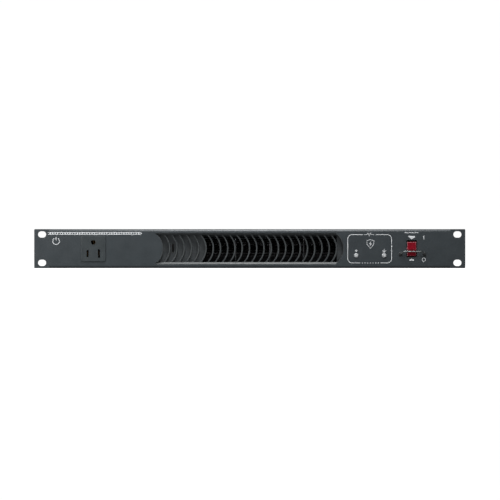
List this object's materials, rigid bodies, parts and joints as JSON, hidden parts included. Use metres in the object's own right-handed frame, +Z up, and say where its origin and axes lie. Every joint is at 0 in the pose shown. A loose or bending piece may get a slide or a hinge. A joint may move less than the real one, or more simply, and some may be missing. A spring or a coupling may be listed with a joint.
{
  "type": "rack power strip",
  "caption": "One-unit rack power strip with a vaned blower grille, a front outlet, surge lamps, a guarded red rocker breaker and a row of rear outlets.",
  "frame": {"origin": "centre of the four ear slots, on the rear face of the ears", "axes": "+X to the right seen from the front, +Z up, the front faces -Y and the case runs towards +Y"},
  "size_m": [0.4826, 0.2212, 0.0436],
  "materials": {
    "panel_paint": "fine textured powder coat",
    "case_paint": "matte black powder coat",
    "zinc": "zinc plated",
    "grille_plastic": "satin moulded",
    "baffle_steel": "phosphated sheet",
    "outlet_plastic": "satin moulded",
    "brass": "stamped",
    "block_plastic": "moulded nylon",
    "rubber": "soft matte",
    "impeller_metal": "dull rolled sheet",
    "shaft_steel": "ground",
    "lamination": "stacked lamination",
    "coil_tape": "wrapped tape",
    "board": "glass fibre board with solder mask",
    "varistor_coat": "dipped epoxy",
    "fuse_body": "ceramic tube",
    "lamp_lens": "clear epoxy",
    "rocker_red": "translucent red moulding",
    "guard_steel": "bright plated wire",
    "lead_jacket": "PVC insulation"
  },
  "bodies": {
    "case": {"blower_plate_left": "baffle_steel", "blower_plate_right": "baffle_steel", "blower_scroll": "baffle_steel", "blower_tongue": "baffle_steel", "board_screws": "zinc", "board_standoffs": "zinc", "case_screws": "zinc", "chassis_base": "case_paint", "cord_gland": "block_plastic", "earth_bus": "brass", "earth_nut": "zinc", "earth_stud": "zinc", "front_outlet": "outlet_plastic", "front_outlet_contacts": "brass", "front_outlet_leads": "lead_jacket", "front_panel": "panel_paint", "gland_nut": "block_plastic", "grille_nuts": "zinc", "guard_collars": "block_plastic", "idle_bush": "brass", "idle_grommet": "rubber", "led_1": "lamp_lens", "led_2": "lamp_lens", "live_bus": "brass", "motor_baffle": "baffle_steel", "motor_bolts": "zinc", "motor_bracket_left": "baffle_steel", "motor_bracket_right": "baffle_steel", "motor_bushes": "brass", "motor_coil": "coil_tape", "motor_leads": "lead_jacket", "motor_stator": "lamination", "neutral_bus": "brass", "rear_outlet_1": "outlet_plastic", "rear_outlet_2": "outlet_plastic", "rear_outlet_3": "outlet_plastic", "rear_outlet_4": "outlet_plastic", "rear_outlet_5": "outlet_plastic", "rear_outlet_6": "outlet_plastic", "rear_outlet_7": "outlet_plastic", "rear_outlet_8": "outlet_plastic", "rear_panel": "case_paint", "surge_board": "board", "switch_guard": "guard_steel", "switch_housing": "block_plastic", "switch_leads": "lead_jacket", "switch_terminals": "brass", "terminal_block": "block_plastic", "terminal_screws": "zinc", "thermal_fuse": "fuse_body", "top_cover": "case_paint", "vane_grille": "grille_plastic", "varistors": "varistor_coat"},
    "impeller": {"impeller": "impeller_metal", "drive_shaft": "shaft_steel", "idle_shaft": "shaft_steel", "motor_rotor": "lamination"},
    "rocker": {"switch_rocker": "rocker_red", "switch_plunger": "brass"},
    "bridge": {"contact_bridge": "brass"}
  },
  "joints": [
    {"name": "impeller_spin", "type": "hinge", "parent": "case", "child": "impeller", "pos_m": [0, 0.035, 0], "axis": [1, 0, 0], "continuous": true},
    {"name": "rocker_tilt", "type": "hinge", "parent": "case", "child": "rocker", "pos_m": [0.1813, 0.002, 0], "axis": [1, 0, 0], "range_deg": [-18, 0]},
    {"name": "bridge_tilt", "type": "hinge", "parent": "case", "child": "bridge", "pos_m": [0.1813, 0.015, 0], "axis": [1, 0, 0], "range_deg": [0, 12.1]}
  ],
  "couplings": [
    {"joint": "bridge_tilt", "follows": "rocker_tilt", "ratio": -0.6667}
  ]
}
